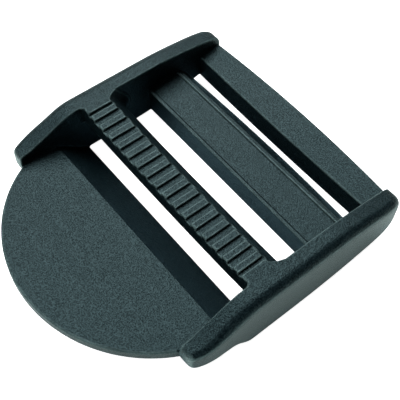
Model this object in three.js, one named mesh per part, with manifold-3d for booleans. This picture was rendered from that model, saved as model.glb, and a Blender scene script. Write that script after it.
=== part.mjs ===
// Buckle slider (ladder-lock webbing adjuster) with a round thumb tab, for 50 mm webbing.
// Millimetres, +Z up. X runs across the webbing, -Y is the thumb tab end, +Y is the sewn webbing end.
// The slider rests on the flat undersides of its two side rails at Z = 0.
// One moulding in real life: the bodies here are its structural members, meeting on flat planes.
import * as THREE from 'three';
import { mergeVertices } from 'three/addons/utils/BufferGeometryUtils.js';
import Module from 'manifold-3d';

const wasm = await Module();
wasm.setup();

// Driving dimensions
const SLOT_LENGTH = 52.4; // clear width between the rails: 50 mm webbing with 2.4 mm to spare
const WIDTH = 61.8; // over both rails
const HEIGHT = 13.9; // underside of the rails to the tops of the rails and the teeth
const TOOTH_PITCH = 3;
const GROOVE_COUNT = 16;
const GROOVE_WIDTH = 1.45;
const GROOVE_DEPTH = 0.7;
const TAB_RADIUS = 29.4;
const TAB_CENTRE_Y = -5.2;
const TAB_NECK_X = 24.6; // where the round of the tab turns out to the rails
const RAIL_END_Y = 35.45; // far ends of the rails
const RAIL_START_Y = -19.2; // thumb tab ends of the rails
const RAIL_STATIONS = 56;
const SHOULDER = { across: 2.6, down: 3.2, foot: 0.8 }; // rounding of the rails' outer edges
const END_SHOULDER = 0.75; // the shoulder narrows by this factor towards the far ends
const LENGTH_CENTRE_Y = 0.45; // middle of the overall length, from the middle of the teeth

const INNER_X = SLOT_LENGTH / 2;
const OUTER_X = WIDTH / 2;

// Thumb tab and its ramp
const TAB_ROOT = { y: -9.9, bottom: 3.5, top: 6.3 };
const TAB_TIP = { y: TAB_CENTRE_Y - TAB_RADIUS, bottom: 5.2, top: 7.6 };
const RAMP_FOOT_Y = -2.5;
const RAMP_FOOT_THICKNESS = 0.4;

// Toothed grip bar
const GRIP = { near: -2.9, far: 2.8, nearBottom: 9.7, toeY: 6.9, toeTop: 8.6, toeBottom: 7.7 };
const GRIP_EDGE = 0.4; // rounding of the edge that the webbing turns over

// Middle bar: a low lip, a shallow recessed floor, a ridge and a slope down to the last slot
const MID = {
  near: 14.1,
  nearFoot: 14.8,
  lipTop: 7.6,
  lipFar: 14.9,
  floorNear: 7.35,
  floorFar: 7.75,
  ridgeNear: 22.3,
  ridgeFar: 23.2,
  ridgeTop: 8.1,
  farFoot: 27.3,
};
const MID_EDGE = 0.4; // small facets that blunt the lip, the ridge and the foot

// End bar
const END = { near: 29.1, nearTop: 8.5, farEnds: 34.5, farMiddle: 35.5, farTop: 9.7 };
const END_CHAMFER = { y: 32, z: 6 }; // where its underside turns up, and how high

const PLASTIC = new THREE.MeshStandardMaterial({ color: 0x1b2729, roughness: 0.55, metalness: 0 });

// The underside steps down from the tab to a flat, then rises along a parabola to the far ends.
const FLAT = { start: -4.2, end: 7.5 };
const ROCKER = 0.0056; // rise in mm per mm squared of distance past the flat
const ROCKER_END_Y = 30.6;

function undersideAt(y) {
  return ROCKER * Math.max(0, y - FLAT.end) ** 2;
}

// Turns a closed three.js geometry into a manifold solid.
function solid(geometry) {
  geometry.deleteAttribute('normal');
  geometry.deleteAttribute('uv');
  const merged = mergeVertices(geometry, 1e-5);
  return new wasm.Manifold(
    new wasm.Mesh({
      numProp: 3,
      vertProperties: new Float32Array(merged.attributes.position.array),
      triVerts: new Uint32Array(merged.index.array),
    }),
  );
}

function toMesh(name, body) {
  const { vertProperties, triVerts } = body.getMesh();
  const geometry = new THREE.BufferGeometry();
  geometry.setAttribute('position', new THREE.BufferAttribute(vertProperties, 3));
  geometry.setIndex(new THREE.BufferAttribute(triVerts, 1));
  geometry.computeVertexNormals();
  const mesh = new THREE.Mesh(geometry, PLASTIC);
  mesh.name = name;
  return mesh;
}

// A closed outline in the YZ plane, extruded along X from x0 to x1.
function sideSolid(shape, x0, x1) {
  const settings = { depth: x1 - x0, curveSegments: 14, bevelEnabled: false };
  const geometry = new THREE.ExtrudeGeometry(shape, settings);
  geometry.translate(0, 0, x0);
  const alongY = new THREE.Vector3(0, 1, 0);
  const alongZ = new THREE.Vector3(0, 0, 1);
  const alongX = new THREE.Vector3(1, 0, 0);
  geometry.applyMatrix4(new THREE.Matrix4().makeBasis(alongY, alongZ, alongX));
  return solid(geometry);
}

// A closed outline in the XY plane, standing from below the slider to above it.
function planSolid(shape, curveSegments = 14) {
  const settings = { depth: HEIGHT + 2, curveSegments, bevelEnabled: false };
  const geometry = new THREE.ExtrudeGeometry(shape, settings);
  geometry.translate(0, 0, -1);
  return solid(geometry);
}

function polygon(points) {
  return new THREE.Shape(points.map(([a, b]) => new THREE.Vector2(a, b)));
}

// Joins rings of the same number of points into one closed body. Each ring is convex and faces along +Y.
function loft(rings) {
  const size = rings[0].length;
  const last = (rings.length - 1) * size;
  const indices = [];
  for (let ring = 0; ring < rings.length - 1; ring += 1) {
    for (let i = 0; i < size; i += 1) {
      const a = ring * size + i;
      const b = ring * size + ((i + 1) % size);
      indices.push(a, b, b + size, a, b + size, a + size);
    }
  }
  for (let i = 1; i < size - 1; i += 1) {
    indices.push(0, i + 1, i);
    indices.push(last, last + i, last + i + 1);
  }
  const geometry = new THREE.BufferGeometry().setFromPoints(rings.flat());
  geometry.setIndex(indices);
  return solid(geometry);
}

// The second coordinate of a path as a function of the first, which rises all along it.
function follow(path) {
  const points = path.getPoints(10);
  const along = points.map((point) => point.x);
  const across = points.map((point) => point.y);
  const interpolant = new THREE.LinearInterpolant(along, across, 1);
  return (position) => interpolant.evaluate(position)[0];
}

// The underside's step from the root of the tab down to the flat, the same on the ramp and the rails.
function stepDown(path) {
  path.bezierCurveTo(-7.4, 3.1, -6.6, 0, FLAT.start, 0);
}

// Top of a rail in side view: level over the bars, sloping down beside the ramp to a blunt nose.
function railTop() {
  const path = new THREE.Path();
  path.moveTo(RAIL_START_Y, 7.4);
  path.quadraticCurveTo(RAIL_START_Y + 0.1, 9.1, -18, 9.2);
  path.quadraticCurveTo(-16.6, 9.4, -15.2, 9.95);
  path.lineTo(-9.2, 12.55);
  path.quadraticCurveTo(-6.2, HEIGHT, -3.8, HEIGHT);
  path.lineTo(15, HEIGHT);
  path.bezierCurveTo(19.5, HEIGHT, 25, 13.3, 31, 12.4);
  path.bezierCurveTo(33.8, 12.1, RAIL_END_Y, 11.1, RAIL_END_Y, 8.8);
  return path;
}

// Underside of a rail: in line with the tab at the nose, a step down to the flat, then the rocker.
function railUnderside() {
  const path = new THREE.Path();
  path.moveTo(RAIL_START_Y, 5.8);
  path.quadraticCurveTo(RAIL_START_Y + 0.2, 4.5, -17.4, 4.3);
  path.lineTo(TAB_ROOT.y, TAB_ROOT.bottom);
  stepDown(path);
  path.lineTo(FLAT.end, 0);
  path.quadraticCurveTo((FLAT.end + ROCKER_END_Y) / 2, 0, ROCKER_END_Y, undersideAt(ROCKER_END_Y));
  path.quadraticCurveTo(RAIL_END_Y - 0.6, 4.1, RAIL_END_Y, 7);
  return path;
}

// Outer side of a rail in plan: gently bowed, with rounded ends.
function railOutside() {
  const path = new THREE.Path();
  path.moveTo(RAIL_START_Y, 27.4);
  path.bezierCurveTo(RAIL_START_Y + 0.1, 28.9, -19, 29.5, -18, 29.9);
  path.quadraticCurveTo(-16.2, 30.8, -13, OUTER_X);
  path.lineTo(27.5, OUTER_X);
  path.bezierCurveTo(32.4, OUTER_X, RAIL_END_Y, 30.6, RAIL_END_Y, 28.4);
  return path;
}

// Inner side of a rail in plan: straight along the slots and bars, rounded only past the end bar.
function railInside() {
  const path = new THREE.Path();
  path.moveTo(RAIL_START_Y, INNER_X);
  path.lineTo(END.farEnds, INNER_X);
  path.quadraticCurveTo(RAIL_END_Y, INNER_X, RAIL_END_Y, 27.6);
  return path;
}

// A quarter ellipse of points in an XZ plane, from one angle on, clockwise seen along +Y.
function quarterRound(y, centre, radius, startAngle, steps) {
  const points = [];
  for (let i = 0; i <= steps; i += 1) {
    const angle = startAngle - (i / steps) * (Math.PI / 2);
    const x = centre.x + radius.x * Math.cos(angle);
    const z = centre.z + radius.z * Math.sin(angle);
    points.push(new THREE.Vector3(x, y, z));
  }
  return points;
}

// A rail's cross-section at one Y: flat inside, with a broad shoulder outside and a softened lower edge.
function railRing(y, bottom, top, inner, outer) {
  const height = top - bottom;
  const width = outer - inner;
  const scale = THREE.MathUtils.mapLinear(Math.max(y, 15), 15, RAIL_END_Y, 1, END_SHOULDER);
  const shoulder = {
    x: Math.min(SHOULDER.across * scale, width * 0.85),
    z: Math.min(SHOULDER.down * scale, height * 0.7),
  };
  const footRadius = Math.min(SHOULDER.foot, height * 0.2, width * 0.4);
  const foot = { x: footRadius, z: footRadius };
  return [
    new THREE.Vector3(inner, y, bottom),
    new THREE.Vector3(inner, y, top),
    ...quarterRound(y, { x: outer - shoulder.x, z: top - shoulder.z }, shoulder, Math.PI / 2, 8),
    ...quarterRound(y, { x: outer - foot.x, z: bottom + foot.z }, foot, 0, 3),
  ];
}

function rail(side) {
  const topAt = follow(railTop());
  const bottomAt = follow(railUnderside());
  const innerAt = follow(railInside());
  const outerAt = follow(railOutside());
  const rings = [];
  for (let i = 0; i <= RAIL_STATIONS; i += 1) {
    const turn = Math.PI * (i / RAIL_STATIONS);
    const share = 0.5 * (i / RAIL_STATIONS) + 0.25 * (1 - Math.cos(turn)); // closer together at the ends
    const y = RAIL_START_Y + share * (RAIL_END_Y - RAIL_START_Y);
    rings.push(railRing(y, bottomAt(y), topAt(y), innerAt(y), outerAt(y)));
  }
  const body = loft(rings);
  return side > 0 ? body : body.mirror([1, 0, 0]);
}

function thumbTab() {
  const reach = Math.acos(TAB_NECK_X / TAB_RADIUS);
  const neckY = TAB_CENTRE_Y - TAB_RADIUS * Math.sin(reach);
  const plan = new THREE.Shape();
  plan.moveTo(INNER_X, TAB_ROOT.y);
  plan.lineTo(-INNER_X, TAB_ROOT.y);
  plan.lineTo(-INNER_X, RAIL_START_Y);
  plan.quadraticCurveTo(-TAB_NECK_X - 0.9, RAIL_START_Y - 0.5, -TAB_NECK_X, neckY);
  plan.absarc(0, TAB_CENTRE_Y, TAB_RADIUS, Math.PI + reach, 2 * Math.PI - reach, false);
  plan.quadraticCurveTo(TAB_NECK_X + 0.9, RAIL_START_Y - 0.5, INNER_X, RAIL_START_Y);
  const side = polygon([
    [TAB_TIP.y, TAB_TIP.bottom],
    [TAB_ROOT.y, TAB_ROOT.bottom],
    [TAB_ROOT.y, TAB_ROOT.top],
    [TAB_TIP.y, TAB_TIP.top],
  ]);
  return planSolid(plan, 72).intersect(sideSolid(side, -INNER_X, INNER_X));
}

// The wall that drops from the root of the tab to the first slot.
function tabRamp() {
  const shape = new THREE.Shape();
  shape.moveTo(TAB_ROOT.y, TAB_ROOT.bottom);
  stepDown(shape);
  shape.lineTo(RAMP_FOOT_Y, 0);
  shape.lineTo(RAMP_FOOT_Y, RAMP_FOOT_THICKNESS);
  shape.lineTo(TAB_ROOT.y, TAB_ROOT.top);
  return sideSolid(shape, -INNER_X, INNER_X);
}

// A wedge-shaped bar with grooves cut across its top, so that the lands between them grip the webbing.
function gripBar() {
  const shape = new THREE.Shape();
  shape.moveTo(GRIP.near, GRIP.nearBottom);
  shape.lineTo(GRIP.toeY - GRIP_EDGE, GRIP.toeBottom);
  shape.quadraticCurveTo(GRIP.toeY + 0.3, GRIP.toeBottom, GRIP.toeY, GRIP.toeTop);
  shape.lineTo(GRIP.far, HEIGHT);
  shape.lineTo(GRIP.near + GRIP_EDGE, HEIGHT);
  shape.quadraticCurveTo(GRIP.near, HEIGHT, GRIP.near, HEIGHT - GRIP_EDGE);
  let bar = sideSolid(shape, -INNER_X, INNER_X);
  const grooveLength = 16;
  for (let i = 0; i < GROOVE_COUNT; i += 1) {
    const cutter = new THREE.BoxGeometry(GROOVE_WIDTH, grooveLength, 2 * GROOVE_DEPTH);
    cutter.translate((i - (GROOVE_COUNT - 1) / 2) * TOOTH_PITCH, 0, HEIGHT);
    bar = bar.subtract(solid(cutter));
  }
  return bar;
}

function middleBar() {
  const nearBottom = undersideAt(MID.nearFoot);
  const farBottom = undersideAt(MID.farFoot);
  const profile = polygon([
    [MID.nearFoot, nearBottom],
    [MID.farFoot, farBottom],
    [MID.farFoot, farBottom + MID_EDGE],
    [MID.ridgeFar, MID.ridgeTop - MID_EDGE / 2],
    [MID.ridgeFar - MID_EDGE, MID.ridgeTop],
    [MID.ridgeNear, MID.ridgeTop],
    [MID.ridgeNear, MID.floorFar],
    [MID.lipFar + MID_EDGE / 2, MID.floorNear],
    [MID.lipFar, MID.lipTop],
    [MID.near + MID_EDGE, MID.lipTop],
    [MID.near, MID.lipTop - MID_EDGE],
  ]);
  return sideSolid(profile, -INNER_X, INNER_X);
}

// The bar that the fixed end of the webbing is sewn round. Its far edge bows outwards.
function endBar() {
  const plan = new THREE.Shape();
  plan.moveTo(-INNER_X, END.near);
  plan.lineTo(INNER_X, END.near);
  plan.lineTo(INNER_X, END.farEnds);
  plan.quadraticCurveTo(0, 2 * END.farMiddle - END.farEnds, -INNER_X, END.farEnds);
  const topSlope = (END.farTop - END.nearTop) / (END.farMiddle - END.near);
  const pastEnd = END.farMiddle + 1;
  const profile = polygon([
    [END.near, undersideAt(END.near)],
    [END_CHAMFER.y, undersideAt(END_CHAMFER.y)],
    [pastEnd, END_CHAMFER.z],
    [pastEnd, END.nearTop + topSlope * (pastEnd - END.near)],
    [END.near, END.nearTop],
  ]);
  return planSolid(plan, 20).intersect(sideSolid(profile, -INNER_X, INNER_X));
}

const slider = new THREE.Group();
slider.position.y = -LENGTH_CENTRE_Y;
slider.add(toMesh('left_rail', rail(-1)));
slider.add(toMesh('right_rail', rail(1)));
slider.add(toMesh('thumb_tab', thumbTab()));
slider.add(toMesh('tab_ramp', tabRamp()));
slider.add(toMesh('grip_bar', gripBar()));
slider.add(toMesh('middle_bar', middleBar()));
slider.add(toMesh('end_bar', endBar()));

export default slider;
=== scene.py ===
"""Buckle slider (ladder-lock webbing adjuster) with a round thumb tab: the finished look of the moulding.

The slider is one injection moulding, so its surface is made in one go, as the zero level of a
signed distance field in millimetres, and only then parted along planes into its named members.
The dimensions are those of the CAD model. Field coordinates: X across the webbing, Y = 0 at the
middle of the teeth, Z = 0 on the table; the frame's own Y is FRAME_SHIFT_Y less.
"""
import math

import bmesh
import bpy
import numpy as np
from mathutils import Matrix, Vector


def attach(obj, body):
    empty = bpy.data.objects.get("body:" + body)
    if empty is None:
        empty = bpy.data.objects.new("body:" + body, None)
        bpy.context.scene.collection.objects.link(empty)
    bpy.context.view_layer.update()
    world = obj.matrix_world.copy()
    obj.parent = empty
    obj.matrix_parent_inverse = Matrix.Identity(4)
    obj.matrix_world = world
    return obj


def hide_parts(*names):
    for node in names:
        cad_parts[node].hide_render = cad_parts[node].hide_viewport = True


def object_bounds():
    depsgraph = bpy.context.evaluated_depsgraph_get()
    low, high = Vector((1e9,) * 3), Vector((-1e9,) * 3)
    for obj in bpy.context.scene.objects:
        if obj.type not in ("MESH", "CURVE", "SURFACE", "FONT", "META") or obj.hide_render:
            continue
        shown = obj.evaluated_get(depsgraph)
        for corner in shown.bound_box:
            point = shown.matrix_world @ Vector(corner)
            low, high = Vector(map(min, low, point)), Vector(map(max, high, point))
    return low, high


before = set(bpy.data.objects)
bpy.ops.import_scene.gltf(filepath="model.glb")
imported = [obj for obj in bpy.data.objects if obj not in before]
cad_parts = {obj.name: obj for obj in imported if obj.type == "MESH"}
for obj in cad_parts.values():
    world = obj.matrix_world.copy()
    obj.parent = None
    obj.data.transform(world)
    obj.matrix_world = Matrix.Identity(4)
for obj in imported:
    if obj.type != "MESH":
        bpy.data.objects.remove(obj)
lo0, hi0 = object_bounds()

MM = 0.001
FRAME_SHIFT_Y = 0.45

# Overall dimensions, the same as the CAD model's
INNER_X = 26.2
OUTER_X = 30.9
HEIGHT = 13.9
RAIL_START_Y = -19.2
RAIL_END_Y = 35.45
TAB_RADIUS = 29.4
TAB_CENTRE_Y = -5.2
TAB_TIP_Y = -34.6
TAB_TOP_Z = {"tip": 7.6, "crease": 6.3}
TAB_UNDER_Z = {"tip": 5.2, "crease": 3.5}
CREASE_Y = -9.9
TOOTH_PITCH = 3.0
GROOVE_COUNT = 16
GROOVE_WIDTH = 1.45
GROOVE_DEPTH = 0.7
FLAT_END_Y = 7.5
ROCKER = 0.0056
ROCKER_END_Y = 30.6

# Roundings
SHOULDER_R = 2.3
INSIDE_EDGE_R = 0.35
FOOT_R = 0.8
RIM_R = 0.4
GROOVE_EDGE_R = 0.18
TAB_FILLET = 0.7
GRIP_FILLET = {"near": 1.1, "far": 3.2}
BAR_FILLET = 0.3
NO_FILLET = 0.02

# The grid on which the surface is found, and the planes that part it into members
VOXEL = 0.25
TABLE_STEP = 0.05
GRID_LOWS = (-31.75, -35.4, -0.9)
GRID_HIGHS = (31.75, 36.6, 14.8)
SPLIT_X = 25.875
SPLIT_END_Y = 28.4
SPLIT_MIDDLE_Y = 10.4
SPLIT_RAMP_Y = 0
SPLIT_TAB_Y = -8
SPLIT_GRIP_Z = 7.2

# Each piece and the CAD nodes that it stands for
PIECES = {
    "moulded_left_rail": ("left_rail",),
    "moulded_right_rail": ("right_rail",),
    "moulded_thumb_tab": ("thumb_tab", "tab_ramp"),
    "moulded_grip_bar": ("grip_bar",),
    "moulded_middle_bar": ("middle_bar",),
    "moulded_end_bar": ("end_bar",),
}


def under_at(y):
    """Height of the rocking underside."""
    return ROCKER * max(0.0, y - FLAT_END_Y) ** 2


# ---- outlines -----------------------------------------------------------------------------------


def bezier(points, count=14):
    """Points along a Bezier curve of any degree, without its first one."""
    points = np.array(points, float)
    degree = len(points) - 1
    t = np.linspace(0, 1, count + 1)[1:, None]
    return sum(
        math.comb(degree, i) * t**i * (1 - t) ** (degree - i) * points[i]
        for i in range(degree + 1)
    ).tolist()


def rounded(corners, steps=8):
    """A closed outline with each corner (a, b, radius) turned into an arc."""
    out = []
    n = len(corners)
    for i, (a, b, r) in enumerate(corners):
        p = np.array([a, b], float)
        if r <= 0:
            out.append(p.tolist())
            continue
        q0 = np.array(corners[i - 1][:2], float) - p
        q1 = np.array(corners[(i + 1) % n][:2], float) - p
        l0, l1 = np.linalg.norm(q0), np.linalg.norm(q1)
        u0, u1 = q0 / l0, q1 / l1
        half = math.acos(np.clip(u0 @ u1, -1, 1)) / 2
        back = min(r / math.tan(half), 0.49 * l0, 0.49 * l1)
        r = back * math.tan(half)
        middle = (u0 + u1) / np.linalg.norm(u0 + u1)
        centre = p + middle * (r / math.sin(half))
        start, end = p + u0 * back - centre, p + u1 * back - centre
        a0, a1 = math.atan2(start[1], start[0]), math.atan2(end[1], end[0])
        turn = (a1 - a0 + math.pi) % (2 * math.pi) - math.pi
        for k in range(steps + 1):
            angle = a0 + turn * k / steps
            out.append([centre[0] + r * math.cos(angle), centre[1] + r * math.sin(angle)])
    return out


def step_down():
    """The underside's step from the tab's level down to the table."""
    return bezier([(CREASE_Y, TAB_UNDER_Z["crease"]), (-7.4, 3.1), (-6.6, 0), (-4.2, 0)])


def rail_top():
    """Side view of the rail's top, closed far below."""
    y0, y1 = RAIL_START_Y, RAIL_END_Y
    line = [[y0, -30], [y0, 7.4]]
    line += bezier([(y0, 7.4), (y0 + 0.1, 9.1), (-18, 9.2)])
    line += bezier([(-18, 9.2), (-16.6, 9.4), (-15.2, 9.95)])
    line += [[-9.2, 12.55]]
    line += bezier([(-9.2, 12.55), (-6.2, HEIGHT), (-3.8, HEIGHT)])
    line += [[15, HEIGHT]]
    line += bezier([(15, HEIGHT), (19.5, HEIGHT), (25, 13.3), (31, 12.4)])
    line += bezier([(31, 12.4), (33.8, 12.1), (y1, 11.1), (y1, 8.8)])
    return line + [[y1, -30]]


def rail_underside():
    """Side view of the rail's underside, closed far above."""
    y0, y1 = RAIL_START_Y, RAIL_END_Y
    line = [[y0, 40], [y0, 5.8]]
    line += bezier([(y0, 5.8), (y0 + 0.2, 4.5), (-17.4, 4.3)])
    line += [[CREASE_Y, TAB_UNDER_Z["crease"]]] + step_down() + [[FLAT_END_Y, 0]]
    far = under_at(ROCKER_END_Y)
    line += bezier([(FLAT_END_Y, 0), ((FLAT_END_Y + ROCKER_END_Y) / 2, 0), (ROCKER_END_Y, far)])
    line += bezier([(ROCKER_END_Y, far), (y1 - 0.6, 4.1), (y1, 7)])
    return line + [[y1, 40]]


def rail_outside():
    """Plan view (Y, X) of the rail's outer side, closed far inside."""
    y0, y1 = RAIL_START_Y, RAIL_END_Y
    line = [[y0, -40], [y0, 27.4]]
    line += bezier([(y0, 27.4), (y0 + 0.1, 28.9), (-19, 29.5), (-18, 29.9)])
    line += bezier([(-18, 29.9), (-16.2, 30.8), (-13, OUTER_X)])
    line += [[27.5, OUTER_X]]
    line += bezier([(27.5, OUTER_X), (32.4, OUTER_X), (y1, 30.6), (y1, 28.4)])
    return line + [[y1, -40]]


def rail_inside():
    """Plan view (Y, X) of the rail's inner side, closed far outside."""
    y0, y1 = RAIL_START_Y, RAIL_END_Y
    line = [[y0 - 1, 60], [y0 - 1, INNER_X], [34.5, INNER_X]]
    line += bezier([(34.5, INNER_X), (y1, INNER_X), (y1, 27.6)])
    return line + [[y1, 60]]


def tab_side():
    """Side view of the thumb tab and the ramp behind it."""
    past_tip = TAB_CENTRE_Y - TAB_RADIUS - 8
    reach = (CREASE_Y - past_tip) / (CREASE_Y - TAB_TIP_Y)
    top, under = TAB_TOP_Z["crease"], TAB_UNDER_Z["crease"]
    top_end = top + reach * (TAB_TOP_Z["tip"] - top)
    under_end = under + reach * (TAB_UNDER_Z["tip"] - under)
    upper = rounded(
        [(-2.45, 0.0, 0), (-2.5, 0.5, 0.22), (CREASE_Y, top, 0.45), (past_tip, top_end, 0)]
    )
    return upper + [[past_tip, under_end], [CREASE_Y, under]] + step_down()


def grip_side():
    """Side view of the toothed bar, a wedge that runs down to a blunt toe."""
    return rounded(
        [
            (-2.82, 9.7, 0.3),
            (-2.82, HEIGHT, 0.42),
            (3.0, HEIGHT, 0.25),
            (6.95, 8.6, 0.35),
            (6.7, 7.7, 0.3),
        ]
    )


def middle_side():
    """Side view of the middle bar: lip, recessed floor, ridge and a slope to the last slot."""
    return rounded(
        [
            (14.1, 7.6, 0.4),
            (14.85, 7.6, 0.15),
            (15.05, 7.35, 0.12),
            (22.3, 7.66, 0.0),
            (22.3, 8.1, 0.12),
            (23.3, 8.05, 0.5),
            (27.3, under_at(27.3) + 0.5, 0.25),
            (27.3, under_at(27.3), 0.1),
            (21, under_at(21), 0),
            (14.9, under_at(14.9), 0.3),
        ]
    )


def end_side():
    """Side view of the end bar."""
    return rounded(
        [
            (29.1, under_at(29.1), 0.4),
            (29.1, 8.5, 0.45),
            (35.45, 9.7, 0.55),
            (35.45, 7.6, 1.0),
            (32.0, under_at(32.0), 1.5),
        ]
    )


# ---- signed distances ---------------------------------------------------------------------------


class Outline:
    """Signed distance to a closed outline, read from a fine table."""

    def __init__(self, points, a_range, b_range):
        pts = np.array(points, float)
        nxt = np.roll(pts, -1, axis=0)
        keep = np.linalg.norm(nxt - pts, axis=1) > 1e-9
        pts, nxt = pts[keep], nxt[keep]
        self.a0, self.b0 = a_range[0], b_range[0]
        a = np.arange(a_range[0], a_range[1] + TABLE_STEP, TABLE_STEP)
        b = np.arange(b_range[0], b_range[1] + TABLE_STEP, TABLE_STEP)
        ga, gb = np.meshgrid(a, b, indexing="ij")
        best = np.full(ga.shape, 1e9)
        inside = np.zeros(ga.shape, bool)
        for (x0, y0), (x1, y1) in zip(pts, nxt):
            dx, dy = x1 - x0, y1 - y0
            t = np.clip(((ga - x0) * dx + (gb - y0) * dy) / (dx * dx + dy * dy), 0, 1)
            best = np.minimum(best, (ga - x0 - t * dx) ** 2 + (gb - y0 - t * dy) ** 2)
            if dy != 0:
                crosses = (y0 > gb) != (y1 > gb)
                inside ^= crosses & (ga < x0 + (gb - y0) * dx / dy)
        self.table = np.where(inside, -1.0, 1.0) * np.sqrt(best)

    def __call__(self, a, b):
        fa = np.clip((a - self.a0) / TABLE_STEP, 0, self.table.shape[0] - 1.001)
        fb = np.clip((b - self.b0) / TABLE_STEP, 0, self.table.shape[1] - 1.001)
        ia, ib = fa.astype(np.int32), fb.astype(np.int32)
        ua, ub = fa - ia, fb - ib
        t = self.table
        low = t[ia, ib] * (1 - ua) + t[ia + 1, ib] * ua
        high = t[ia, ib + 1] * (1 - ua) + t[ia + 1, ib + 1] * ua
        return low * (1 - ub) + high * ub


def meet(a, b, r):
    """Intersection with a rounded edge of radius r."""
    corner = np.hypot(np.maximum(a + r, 0), np.maximum(b + r, 0))
    return np.minimum(np.maximum(a, b), -r) + corner


def join(a, b, r):
    """Union with a fillet of radius r."""
    corner = np.hypot(np.maximum(r - a, 0), np.maximum(r - b, 0))
    return np.maximum(np.minimum(a, b), r) - corner


def ease(v, lo, hi):
    """A smooth rise from 0 at lo to 1 at hi."""
    t = np.clip((v - lo) / (hi - lo), 0, 1)
    return t * t * (3 - 2 * t)


Y_RANGE = (-37.0, 38.0)
Z_RANGE = (-2.0, 16.0)
X_RANGE = (0.0, 33.0)
TOP = Outline(rail_top(), Y_RANGE, Z_RANGE)
UNDER = Outline(rail_underside(), Y_RANGE, Z_RANGE)
OUTSIDE = Outline(rail_outside(), Y_RANGE, X_RANGE)
INSIDE = Outline(rail_inside(), Y_RANGE, X_RANGE)
TAB = Outline(tab_side(), Y_RANGE, Z_RANGE)
GRIP = Outline(grip_side(), Y_RANGE, Z_RANGE)
MIDDLE = Outline(middle_side(), Y_RANGE, Z_RANGE)
END = Outline(end_side(), Y_RANGE, Z_RANGE)


def rails(x, y, z):
    """Both side rails. The shoulder is sharper towards the noses."""
    ax = np.abs(x)
    top, under = TOP(y, z), UNDER(y, z)
    outside, inside = OUTSIDE(y, ax), INSIDE(y, ax)
    near_end = 0.38 * (1 - ease(y, RAIL_START_Y, -8))
    far_end = 0.2 * ease(y, 15, RAIL_END_Y)
    shoulder = SHOULDER_R * (1 - near_end - far_end)
    body = meet(top, outside, shoulder)
    body = meet(body, inside, INSIDE_EDGE_R)
    return meet(body, meet(under, np.maximum(outside, inside), FOOT_R), 0.3)


def tab(x, y, z):
    """The round thumb tab with its ramp, which fills the width between the rails."""
    side = TAB(y, z)
    disc = np.hypot(x, y - TAB_CENTRE_Y) - TAB_RADIUS
    strip = np.maximum(np.abs(x) - INNER_X - 1.5, -(y + 16))
    return meet(side, np.minimum(disc, strip), RIM_R)


def grip(x, y, z):
    """The toothed bar, slightly bowed."""
    bow = 0.3 * (1 - (x / INNER_X) ** 2)
    bar = GRIP(y + bow, z)
    phase = np.abs((x / TOOTH_PITCH + 0.5 * (GROOVE_COUNT + 1)) % 1 - 0.5) * TOOTH_PITCH
    ends = np.abs(x) - TOOTH_PITCH * GROOVE_COUNT / 2
    groove = np.maximum(phase - GROOVE_WIDTH / 2, ends)
    groove = meet(groove, HEIGHT - GROOVE_DEPTH - z, 0.1)
    return meet(bar, -groove, GROOVE_EDGE_R)


def middle(x, y, z):
    """The middle bar, whose far side bows."""
    bow = 0.6 * (1 - (x / INNER_X) ** 2) * ease(y, 23.5, 27.3)
    return MIDDLE(y - bow, z)


def end(x, y, z):
    """The end bar, bowed on both sides."""
    across = 1 - (x / INNER_X) ** 2
    near = -0.3 * across * ease(-y, -31.5, -29.5)
    far = np.where(np.abs(x) < INNER_X + 1, across - 0.9, 0)
    return END(y - near - far * ease(y, 31.5, 33.5), z)


def slider(x, y, z):
    """Signed distance to the whole moulding. The bars run into the rails, with fillets in the slots."""
    bar_length = np.abs(x) - INNER_X - 1.0
    in_slot = 1 - ease(np.abs(x), INNER_X - 0.1, INNER_X + 0.6)
    body = rails(x, y, z)
    body = join(body, tab(x, y, z), TAB_FILLET)
    near, far = GRIP_FILLET["near"], GRIP_FILLET["far"]
    fillet = NO_FILLET + in_slot * (near + (far - near) * ease(y, 0.5, 4.0))
    body = join(body, np.maximum(grip(x, y, z), bar_length), fillet)
    body = np.maximum(body, z - HEIGHT)
    bars = np.minimum(middle(x, y, z), end(x, y, z))
    fillet = NO_FILLET + in_slot * (BAR_FILLET - NO_FILLET)
    body = join(body, np.maximum(bars, bar_length), fillet)
    return np.maximum(body, np.where(y > 0, UNDER(y, z), -z))


# ---- surface ------------------------------------------------------------------------------------


def gradient(points, step=0.06):
    """The field's slope at each point."""
    out = np.empty_like(points)
    for axis in range(3):
        shift = np.zeros(3)
        shift[axis] = step
        ahead, behind = points + shift, points - shift
        out[:, axis] = (slider(*ahead.T) - slider(*behind.T)) / (2 * step)
    return out


def edge_highlight_mask(points, reach=0.22):
    """1 on sharp convex edges and 0 elsewhere. It places a painted highlight and a lower roughness on
    those edges.
    """
    bend = -6 * slider(*points.T)
    for axis in range(3):
        shift = np.zeros(3)
        shift[axis] = reach
        bend += slider(*(points + shift).T) + slider(*(points - shift).T)
    return ease(bend / reach**2, 0.9, 2.6)


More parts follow.
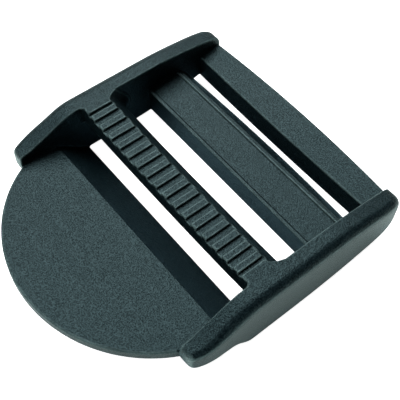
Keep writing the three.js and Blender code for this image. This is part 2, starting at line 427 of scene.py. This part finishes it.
def surface_nets():
    """The field's zero level as quads, with one vertex in each grid cell that the surface crosses."""
    lows = np.array(GRID_LOWS)
    counts = np.round((np.array(GRID_HIGHS) - lows) / VOXEL).astype(int) + 1
    axes = [lows[i] + VOXEL * np.arange(counts[i]) for i in range(3)]
    field = np.empty(counts)
    for i, x in enumerate(axes[0]):
        gy, gz = np.meshgrid(axes[1], axes[2], indexing="ij")
        field[i] = slider(np.full_like(gy, x), gy, gz)
    solid = field < 0
    offsets = [(i, j, k) for i in (0, 1) for j in (0, 1) for k in (0, 1)]
    cells = counts - 1

    def corner(array, o):
        return array[tuple(slice(o[d], o[d] + cells[d]) for d in range(3))]

    total = sum(corner(solid, o).astype(np.int8) for o in offsets)
    active = (total > 0) & (total < 8)
    where = np.argwhere(active)
    index = np.full(cells, -1)
    index[active] = np.arange(len(where))
    values = {o: corner(field, o)[active] for o in offsets}
    spot = np.zeros((len(where), 3))
    hits = np.zeros(len(where))
    for o in offsets:
        for d in range(3):
            if o[d]:
                continue
            p = tuple(1 if e == d else o[e] for e in range(3))
            a, b = values[o], values[p]
            crossed = (a < 0) != (b < 0)
            t = np.where(crossed, a / np.where(crossed, a - b, 1), 0)
            for e in range(3):
                spot[:, e] += np.where(crossed, o[e] + (t if e == d else 0), 0)
            hits += crossed
    points = lows + VOXEL * (where + spot / hits[:, None])

    quads, places = [], []
    for d in range(3):
        e, f = (d + 1) % 3, (d + 2) % 3
        a = solid[tuple(slice(0, -1) if i == d else slice(1, -1) for i in range(3))]
        b = solid[tuple(slice(1, None) if i == d else slice(1, -1) for i in range(3))]
        for flip, mask in ((False, a & ~b), (True, ~a & b)):
            at = np.argwhere(mask)
            at[:, e] += 1
            at[:, f] += 1
            ring = []
            for de, df in ((1, 1), (0, 1), (0, 0), (1, 0)):
                cell = at.copy()
                cell[:, e] -= de
                cell[:, f] -= df
                ring.append(index[cell[:, 0], cell[:, 1], cell[:, 2]])
            quad = np.stack(ring, axis=1)
            quads.append(quad[:, ::-1] if flip else quad)
            place = lows + VOXEL * at
            place[:, d] += VOXEL / 2
            places.append(place)
    return points, np.concatenate(quads), np.concatenate(places)


def settle(points, rounds=3):
    """Moves the vertices onto the field's zero level."""
    start = points.copy()
    for _ in range(rounds):
        slope = gradient(points)
        value = slider(*points.T)
        scale = value / np.maximum((slope**2).sum(axis=1), 0.2)
        points = points - slope * scale[:, None]
        away = points - start
        far = np.linalg.norm(away, axis=1)
        limit = np.minimum(1, 0.75 * VOXEL / np.maximum(far, 1e-9))
        points = start + away * limit[:, None]
    return points


def members_of(place):
    """Name of the piece that each face belongs to."""
    x, y, z = place.T
    hair = 0.01
    out = np.full(len(place), "moulded_end_bar", dtype=object)
    out[y < SPLIT_END_Y] = "moulded_middle_bar"
    out[(y < SPLIT_MIDDLE_Y) & (z > SPLIT_GRIP_Z)] = "moulded_grip_bar"
    out[(y < SPLIT_RAMP_Y) & (z <= SPLIT_GRIP_Z)] = "moulded_thumb_tab"
    out[y < SPLIT_TAB_Y] = "moulded_thumb_tab"
    out[x < -SPLIT_X - hair] = "moulded_left_rail"
    out[x > SPLIT_X + hair] = "moulded_right_rail"
    return out


def make_piece(name, points, normals, edge_highlight, quads, material):
    """One member as a closed mesh with the whole moulding's smooth normals."""
    used, inverse = np.unique(quads, return_inverse=True)
    local = inverse.reshape(quads.shape)
    co = (points[used] - [0, FRAME_SHIFT_Y, 0]) * MM
    mesh = bpy.data.meshes.new(name)
    mesh.from_pydata(co.tolist(), [], local.tolist())
    bm = bmesh.new()
    bm.from_mesh(mesh)
    open_edges = [e for e in bm.edges if len(e.link_faces) == 1]
    bmesh.ops.holes_fill(bm, edges=open_edges, sides=0)
    bmesh.ops.recalc_face_normals(bm, faces=bm.faces)
    if bm.calc_volume(signed=True) < 0:
        bmesh.ops.reverse_faces(bm, faces=bm.faces)
    bm.to_mesh(mesh)
    bm.free()
    mesh.polygons.foreach_set("use_smooth", [True] * len(mesh.polygons))
    vertex = np.empty(len(mesh.loops), int)
    mesh.loops.foreach_get("vertex_index", vertex)
    corner_normals = normals[used][vertex]
    for polygon in mesh.polygons:
        if len(polygon.vertices) > 4:
            span = slice(polygon.loop_start, polygon.loop_start + polygon.loop_total)
            corner_normals[span] = polygon.normal
    mesh.normals_split_custom_set(corner_normals.tolist())
    mesh.attributes.new("edge_highlight", "FLOAT", "POINT").data.foreach_set("value", edge_highlight[used])
    mesh.materials.append(material)
    piece = bpy.data.objects.new(name, mesh)
    bpy.context.collection.objects.link(piece)
    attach(piece, "root")
    return piece


# ---- material -----------------------------------------------------------------------------------

GRAIN_SCALE = 3700
GRAIN_HEIGHT = 0.00011
DARK_GRAIN = (0.0004, 0.002, 0.003)
PALE_GRAIN = (0.004, 0.009, 0.011)
# Paler colour of the painted highlight on sharp convex edges
EDGE_HIGHLIGHT = (0.08, 0.12, 0.12)
REFLECTION_TINT = (0.58, 0.95, 1.0)

def plastic():
    """Dark green-grey moulded plastic with a fine spark-eroded grain and a painted highlight along its
    sharp edges.
    """
    material = bpy.data.materials.new("moulded_plastic_grained")
    material.use_nodes = True
    nodes, links = material.node_tree.nodes, material.node_tree.links
    shader = nodes["Principled BSDF"]
    where = nodes.new("ShaderNodeTexCoord")

    def noise(scale, detail):
        node = nodes.new("ShaderNodeTexNoise")
        node.inputs["Scale"].default_value = scale
        node.inputs["Detail"].default_value = detail
        links.new(where.outputs["Object"], node.inputs["Vector"])
        return node.outputs["Fac"]

    def ramp(value, stops):
        node = nodes.new("ShaderNodeValToRGB")
        elements = node.color_ramp.elements
        elements[0].position, elements[0].color = stops[0][0], (*stops[0][1], 1)
        elements[1].position, elements[1].color = stops[1][0], (*stops[1][1], 1)
        links.new(value, node.inputs["Fac"])
        return node.outputs["Color"]

    def remap(value, start, stop, low, high):
        node = nodes.new("ShaderNodeMapRange")
        node.inputs["From Min"].default_value = start
        node.inputs["From Max"].default_value = stop
        node.inputs["To Min"].default_value = low
        node.inputs["To Max"].default_value = high
        links.new(value, node.inputs["Value"])
        return node.outputs["Result"]

    fine = noise(GRAIN_SCALE, 1.0)
    broad = noise(90, 2.0)
    grain = ramp(fine, ((0.38, DARK_GRAIN), (0.62, PALE_GRAIN)))
    clouds = ramp(broad, ((0.3, (0.93, 0.95, 0.96)), (0.7, (1.0, 1.0, 1.0))))
    tint = nodes.new("ShaderNodeMix")
    tint.data_type = "RGBA"
    tint.blend_type = "MULTIPLY"
    tint.inputs["Factor"].default_value = 1.0
    links.new(grain, tint.inputs["A"])
    links.new(clouds, tint.inputs["B"])

    # Painted highlight: sharp convex edges turn paler in noisy patches, and their roughness is lowered
    # below
    edge_highlight_node = nodes.new("ShaderNodeAttribute")
    edge_highlight_node.attribute_name = "edge_highlight"
    patchy = nodes.new("ShaderNodeMath")
    patchy.operation = "MULTIPLY"
    links.new(edge_highlight_node.outputs["Fac"], patchy.inputs[0])
    links.new(noise(500, 3.0), patchy.inputs[1])
    edges = nodes.new("ShaderNodeMix")
    edges.data_type = "RGBA"
    edges.inputs["B"].default_value = (*EDGE_HIGHLIGHT, 1)
    links.new(patchy.outputs["Value"], edges.inputs["Factor"])
    links.new(tint.outputs["Result"], edges.inputs["A"])
    links.new(edges.outputs["Result"], shader.inputs["Base Color"])

    polished = nodes.new("ShaderNodeMath")
    polished.operation = "MULTIPLY_ADD"
    polished.inputs[1].default_value = -0.25
    links.new(patchy.outputs["Value"], polished.inputs[0])
    links.new(remap(fine, 0, 1, 0.36, 0.46), polished.inputs[2])
    links.new(polished.outputs["Value"], shader.inputs["Roughness"])
    links.new(remap(fine, 0.34, 0.66, 0.11, 0.27), shader.inputs["Specular IOR Level"])
    shader.inputs["Specular Tint"].default_value = (*REFLECTION_TINT, 1)

    bump = nodes.new("ShaderNodeBump")
    bump.inputs["Strength"].default_value = 1.0
    bump.inputs["Distance"].default_value = GRAIN_HEIGHT
    links.new(fine, bump.inputs["Height"])
    links.new(bump.outputs["Normal"], shader.inputs["Normal"])
    return material


# ---- build --------------------------------------------------------------------------------------

PLASTIC = plastic()
points, quads, places = surface_nets()
points = settle(points)
slopes = gradient(points, 0.07)
normals = slopes / np.linalg.norm(slopes, axis=1)[:, None]
# Mask of sharp convex edges for the painted highlight
edge_highlight = edge_highlight_mask(points)
members = members_of(places)
for piece_name, nodes in PIECES.items():
    piece = make_piece(piece_name, points, normals, edge_highlight, quads[members == piece_name], PLASTIC)
    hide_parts(*nodes)


# ---- studio -------------------------------------------------------------------------------------

# Each light's place, diameter in metres and power in watts. All of them face the slider
LIGHTS = {
    "back_softbox": ((-0.42, 0.30, 0.82), 0.7, 13.5),
    "front_softbox": ((-0.41, -0.40, 0.79), 0.5, 6.0),
    "low_front": ((0.10, -0.85, 0.38), 0.4, 2.0),
}
LENS_MM = 70.66
CAMERA_RIGHT = (0.63255, 0.77387, 0.03183)
CAMERA_UP = (-0.65401, 0.51166, 0.55721)
CAMERA_BACK = (0.41492, -0.37328, 0.82977)
CAMERA_PLACE = (0.06920, -0.05492, 0.13893)
WHITE = (1, 1, 1)

def whole_ground(size=3.0):
    """The whole ground, as corners and faces."""
    corners = [(-size, -size, 0), (size, -size, 0), (size, size, 0), (-size, size, 0)]
    return corners, [(0, 1, 2, 3)]


def open_ground(width=31.2, back=35.6, front=-19.5, radius=30.0, reach=60):
    """The ground around the slider, with a hole that has the slider's outline; the hole is a painted
    shadow in the surround's glow.
    """
    hole = [(width, back), (-width, back), (-width, front)]
    middle_y = TAB_CENTRE_Y - FRAME_SHIFT_Y
    for k in range(13):
        angle = math.pi * (1.16 + 0.68 * k / 12)
        hole.append((radius * math.cos(angle), middle_y + radius * math.sin(angle)))
    hole.append((width, front))
    inner = [(x * MM, y * MM, 0) for x, y in hole]
    outer = [(x * reach, y * reach, 0) for x, y, _ in inner]
    n = len(inner)
    faces = [(i, (i + 1) % n, n + (i + 1) % n, n + i) for i in range(n)]
    return inner + outer, faces


def walls(size=2.9, height=3.0):
    """Four walls and a ceiling, far away."""
    ring = ((-size, -size), (size, -size), (size, size), (-size, size))
    corners = [(x, y, z) for z in (0, height) for x, y in ring]
    faces = [(k, (k + 1) % 4, 4 + (k + 1) % 4, 4 + k) for k in range(4)]
    return corners, faces + [(4, 5, 6, 7)]


def plane(name, height, colour, glow, shape=None):
    """A matte surface of the stage. It is the whole ground where no shape is given."""
    mesh = bpy.data.meshes.new(name)
    corners, faces = shape or whole_ground()
    mesh.from_pydata(corners, [], faces)
    floor = bpy.data.objects.new(name, mesh)
    floor.location.z = height
    bpy.context.collection.objects.link(floor)
    material = bpy.data.materials.new(name)
    material.use_nodes = True
    shader = material.node_tree.nodes["Principled BSDF"]
    shader.inputs["Base Color"].default_value = (*colour, 1)
    shader.inputs["Roughness"].default_value = 0.9
    shader.inputs["Specular IOR Level"].default_value = 0.1
    shader.inputs["Emission Color"].default_value = (*glow, 1)
    shader.inputs["Emission Strength"].default_value = 1.0
    mesh.materials.append(material)
    return floor


def make_floor():
    """What the camera sees is a white floor and backdrop. What the slider reflects is a dim table under
    itself, which is painted shade, and a glowing surround that lights it from below and leaves a painted
    shadow under it."""
    pale = (0.9, 0.9, 0.9)
    floor = plane("floor", lo0.z - 0.0002, pale, WHITE)
    backdrop = plane("backdrop", lo0.z - 0.0002, pale, WHITE, walls())
    for seen in (floor, backdrop):
        seen.visible_diffuse = False
        seen.visible_glossy = False
        seen.visible_shadow = False
    # Dim table under the slider: painted shade where its shadow falls
    table = plane("table", lo0.z - 0.0004, (0.35, 0.6, 0.7), (0.01, 0.02, 0.03))
    # The surround glows like a lamp, except in the slider's outline, where it paints the slider's shadow
    ground = open_ground()
    surround = plane("surround", lo0.z - 0.0003, (0.7, 0.85, 0.83), (0.62, 0.76, 0.73), ground)
    for reflected in (table, surround):
        reflected.visible_camera = False


def area_light(name, location, size, power):
    """A round soft light that faces the slider."""
    light = bpy.data.lights.new(name, "AREA")
    light.shape = "DISK"
    light.size = size
    light.energy = power
    lamp = bpy.data.objects.new(name, light)
    lamp.location = location
    lamp.rotation_mode = "QUATERNION"
    lamp.rotation_quaternion = (-Vector(location)).to_track_quat("-Z", "Y")
    bpy.context.collection.objects.link(lamp)


def make_camera():
    """The camera, above the near right corner."""
    data = bpy.data.cameras.new("camera")
    data.sensor_width = 36.0
    data.lens = LENS_MM
    data.clip_start = 0.01
    data.clip_end = 10
    camera = bpy.data.objects.new("camera", data)
    columns = (CAMERA_RIGHT, CAMERA_UP, CAMERA_BACK, CAMERA_PLACE)
    camera.matrix_world = Matrix([*zip(*columns), (0, 0, 0, 1)])
    bpy.context.collection.objects.link(camera)
    bpy.context.scene.camera = camera


def make_world():
    """A nearly dark room, so that walls and shoulders stay dark."""
    world = bpy.data.worlds.new("studio")
    world.use_nodes = True
    background = world.node_tree.nodes["Background"]
    background.inputs["Color"].default_value = (1, 1, 1, 1)
    background.inputs["Strength"].default_value = 0.02
    bpy.context.scene.world = world


make_floor()
for light_name, (location, size, power) in LIGHTS.items():
    area_light(light_name, location, size, power)
make_camera()
make_world()
bpy.context.scene.view_settings.view_transform = "Standard"
bpy.context.scene.view_settings.look = "None"
